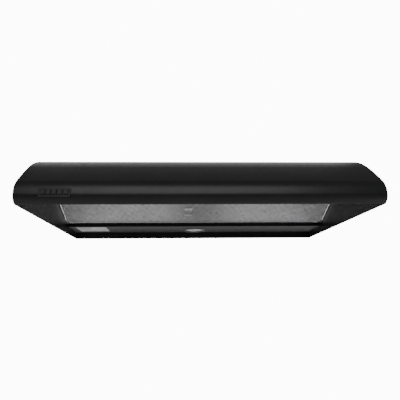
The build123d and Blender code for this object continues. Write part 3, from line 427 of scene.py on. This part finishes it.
def make_rail_beads(material):
    """Rolled bright edge along the underside of each side rail of the filter frame."""
    reach = filter_length / 2 - BEAD_END
    rings, sides = BEAD_RINGS, BEAD_SIDES
    across = Vector((1, 0, 0))
    for side, word in ((-1, "left"), (1, "right")):
        centre = filter_middle + across * side * (filter_half - BEAD_RADIUS - BEAD_INSET)
        centre -= filter_up * (filter_thick / 2 - BEAD_SINK)
        points = []
        for ring in range(rings):
            part = ring / (rings - 1)
            fullness = min(0.5, BEAD_TIP + BEAD_TAPER * min(part, 1 - part))
            radius = BEAD_RADIUS * math.sin(math.pi * fullness)
            middle = centre + down_slope * reach * (2 * part - 1)
            for step in range(sides):
                turn = 2 * math.pi * step / sides
                outward = across * math.cos(turn) + filter_up * math.sin(turn)
                points.append(tuple(middle + outward * radius))
        faces = [tuple(range(sides))[::-1], tuple(range((rings - 1) * sides, rings * sides))]
        for ring in range(rings - 1):
            for step in range(sides):
                here, after = ring * sides + step, ring * sides + (step + 1) % sides
                faces.append((here, after, after + sides, here + sides))
        bead = new_piece(f"filter_bead_{word}", points, faces, material, "filter")
        bead.data.shade_smooth()


# ---- printed marks ------------------------------------------------------------------

PRINT_LIFT = 0.05 * MM
PRINT_SEED = 5
TEXT_ROWS = 7
TABLE_ROWS = 6
TABLE_COLUMNS = 3
TABLE_LINE = 0.35 * MM
BAR_WIDTHS = (0.4, 0.8, 1.2)
BAR_GAPS = (0.5, 0.9, 1.3)


def flat_patch(name, rects, origin, across, up, material, body):
    """Thin printed rectangles on a flat face; rects are (left, low, right, high) in metres."""
    points, faces = [], []
    for left, low_edge, right, high_edge in rects:
        start = len(points)
        for a, b in ((left, low_edge), (right, low_edge), (right, high_edge), (left, high_edge)):
            points.append(tuple(Vector(origin) + Vector(across) * a + Vector(up) * b))
        faces.append(tuple(range(start, start + 4)))
    return new_piece(name, points, faces, material, body)


def make_label_print(material):
    """Grey bars, a boxed table and a plain bar pattern in place of the label's small print."""
    near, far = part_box("rating_label")
    wide, deep = far[0] - near[0], far[1] - near[1]
    rects = [(0.06 * wide, 0.88 * deep, 0.52 * wide, 0.94 * deep)]
    draw = np.random.default_rng(PRINT_SEED)
    for row in range(TEXT_ROWS):
        level = (0.80 - row * 0.065) * deep
        rects.append((0.06 * wide, level, (0.34 + 0.2 * draw.random()) * wide, level + 0.018 * deep))
    table_left, table_right = 0.62 * wide, 0.94 * wide
    table_low, table_high = 0.42 * deep, 0.92 * deep
    for row in range(TABLE_ROWS):
        level = table_low + (table_high - table_low) * row / (TABLE_ROWS - 1)
        rects.append((table_left, level, table_right, level + TABLE_LINE))
    for column in range(TABLE_COLUMNS):
        place = table_left + (table_right - table_left) * column / (TABLE_COLUMNS - 1)
        rects.append((place, table_low, place + TABLE_LINE, table_high))
    place = 0.08 * wide
    while place < 0.9 * wide:
        bar = draw.choice(BAR_WIDTHS) * MM
        rects.append((place, 0.1 * deep, place + bar, 0.26 * deep))
        place += bar + draw.choice(BAR_GAPS) * MM
    origin = (near[0], far[1], near[2] - PRINT_LIFT)
    flat_patch("label_print", rects, origin, (1, 0, 0), (0, -1, 0), material, "hood")


# each button's rectangles, (left, low, right, high) in millimetres from its middle
BUTTON_MARKS = {
    "light_button": [
        (-1.6, -0.4, 1.6, 0.3),
        (-0.3, 0.8, 0.3, 2.0),
        (-1.5, 0.7, -0.9, 1.6),
        (0.9, 0.7, 1.5, 1.6),
    ],
    "off_button": [
        (-1.3, -1.7, 1.3, -1.2),
        (-1.3, 1.2, 1.3, 1.7),
        (-1.3, -1.2, -0.8, 1.2),
        (0.8, -1.2, 1.3, 1.2),
    ],
    "speed_1_button": [(-0.25, -1.7, 0.25, 1.7)],
    "speed_2_button": [(-0.9, -1.7, -0.4, 1.7), (0.4, -1.7, 0.9, 1.7)],
    "speed_3_button": [(-1.5, -1.7, -1.0, 1.7), (-0.25, -1.7, 0.25, 1.7), (1.0, -1.7, 1.5, 1.7)],
}


def make_button_marks(material):
    """A lamp, an off ring and one to three strokes on the five buttons."""
    for body, marks in BUTTON_MARKS.items():
        near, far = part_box(body)
        middle = ((near[0] + far[0]) / 2, near[1] - PRINT_LIFT, (near[2] + far[2]) / 2)
        rects = [tuple(edge * MM for edge in mark) for mark in marks]
        flat_patch(f"{body}_mark", rects, middle, (1, 0, 0), (0, 0, 1), material, body)


# ---- stage --------------------------------------------------------------------------

WORLD_STRENGTH = 0.12
DOME_GLOW = 12.0
DOME_RADIUS = 7.5
PALE = (0.8, 0.8, 0.8)
WHITE = (1, 1, 1)
UPWARD = (0, 0, 1)
FLOOR_PLACE = (0, 0, -1.6)
FLOOR_SIZE = (14, 5.6)
FLOOR_GLOW = 2.5
BOUNCE_PLACE = (0, 0, -1.62)
BOUNCE_SIZE = (14, 14)
BOUNCE_GLOW = 0.15

# name, place, target, size and power of each light
LIGHTS = [
    ("front_strip", (-0.1, -2.1, 1.25), (0, -0.1, -0.1), (2.2, 1.7), 19),
    ("left_low", (-2.0, -0.5, -1.3), (0, 0.2, -0.05), (1.2, 1.2), 7),
    ("right_low", (2.0, -0.5, -1.3), (0, 0.2, -0.05), (1.2, 1.2), 7),
    ("under_box", (0, 1.05, -1.5), (0, 0.15, 0), (2.8, 1.3), 27),
    ("rim_light", (0, 2.6, 0.7), (0, -0.2, 0), (3.0, 0.5), 4),
    ("back_top", (0, 1.6, 1.5), (0, 0, 0), (3.0, 1.2), 9),
]


def glowing_material(name, colour, strength):
    """Matt stage material that glows."""
    material = bpy.data.materials.new(name)
    material.use_nodes = True
    shader = material.node_tree.nodes["Principled BSDF"]
    shader.inputs["Base Color"].default_value = (*colour, 1)
    shader.inputs["Roughness"].default_value = 0.9
    shader.inputs["Emission Color"].default_value = (*colour, 1)
    shader.inputs["Emission Strength"].default_value = strength
    return material


def stage_plane(name, centre, size, facing, material):
    """Flat stage panel."""
    mesh = bpy.data.meshes.new(name)
    half_x, half_y = size[0] / 2, size[1] / 2
    corners = [(-half_x, -half_y, 0), (half_x, -half_y, 0), (half_x, half_y, 0), (-half_x, half_y, 0)]
    mesh.from_pydata(corners, [], [(0, 1, 2, 3)])
    panel = bpy.data.objects.new(name, mesh)
    scene.collection.objects.link(panel)
    panel.rotation_mode = "QUATERNION"
    panel.rotation_quaternion = Vector(facing).to_track_quat("Z", "Y")
    panel.location = centre
    dress(panel, material)
    return panel


def camera_only(piece):
    """Keeps a stage piece out of all light, so it lights and shades nothing."""
    for kind in ("diffuse", "glossy", "transmission", "shadow"):
        setattr(piece, f"visible_{kind}", False)


def make_dome(material):
    """White surround that only the camera sees."""
    mesh = bpy.data.meshes.new("surround")
    build = bmesh.new()
    bmesh.ops.create_uvsphere(build, u_segments=48, v_segments=24, radius=DOME_RADIUS)
    build.to_mesh(mesh)
    build.free()
    dome = bpy.data.objects.new("surround", mesh)
    scene.collection.objects.link(dome)
    dress(dome, material)
    camera_only(dome)


def soft_light(name, place, target, size, power):
    """Rectangular studio light aimed at a point."""
    data = bpy.data.lights.new(name, "AREA")
    data.shape = "RECTANGLE"
    data.size, data.size_y = size
    data.energy = power
    data.color = WHITE
    lamp = bpy.data.objects.new(name, data)
    scene.collection.objects.link(lamp)
    lamp.location = place
    lamp.rotation_mode = "QUATERNION"
    lamp.rotation_quaternion = (Vector(target) - Vector(place)).to_track_quat("-Z", "Y")


def make_stage():
    """Pale floor well below the hung hood, a white surround and soft lights.

    Only the camera sees the floor and the surround; a dimmer floor just below gives the bounce.
    """
    world = bpy.data.worlds.new("studio")
    world.use_nodes = True
    background = world.node_tree.nodes["Background"]
    background.inputs["Color"].default_value = (*WHITE, 1)
    background.inputs["Strength"].default_value = WORLD_STRENGTH
    scene.world = world
    pale_floor = glowing_material("pale_floor", PALE, FLOOR_GLOW)
    camera_only(stage_plane("floor", FLOOR_PLACE, FLOOR_SIZE, UPWARD, pale_floor))
    dim_floor = glowing_material("bounce", PALE, BOUNCE_GLOW)
    bounce = stage_plane("floor_bounce", BOUNCE_PLACE, BOUNCE_SIZE, UPWARD, dim_floor)
    bounce.visible_camera = False
    make_dome(glowing_material("white_surround", WHITE, DOME_GLOW))
    for light in LIGHTS:
        soft_light(*light)


# ---- putting it together ------------------------------------------------------------

make_camera()
materials = make_materials()
for subpart in frame["record"]["subparts"]:
    dress(frame["nodes"][subpart["node"]], materials[subpart["material_slot"]])
make_filter_mesh(materials["filter_mesh_aluminium"])
bead_aluminium = surface(
    "bead_aluminium", (0.92, 0.92, 0.93), (0.96, 0.96, 0.97), (0.14, 0.2), 1.0,
    grain=1200, depth=0.00001,
)
make_rail_beads(bead_aluminium)
make_label_print(surface("label_ink", (0.09, 0.09, 0.09), (0.13, 0.13, 0.13), (0.5, 0.6)))
make_button_marks(surface("button_ink", (0.06, 0.06, 0.06), (0.08, 0.08, 0.08), (0.5, 0.6)))
make_stage()
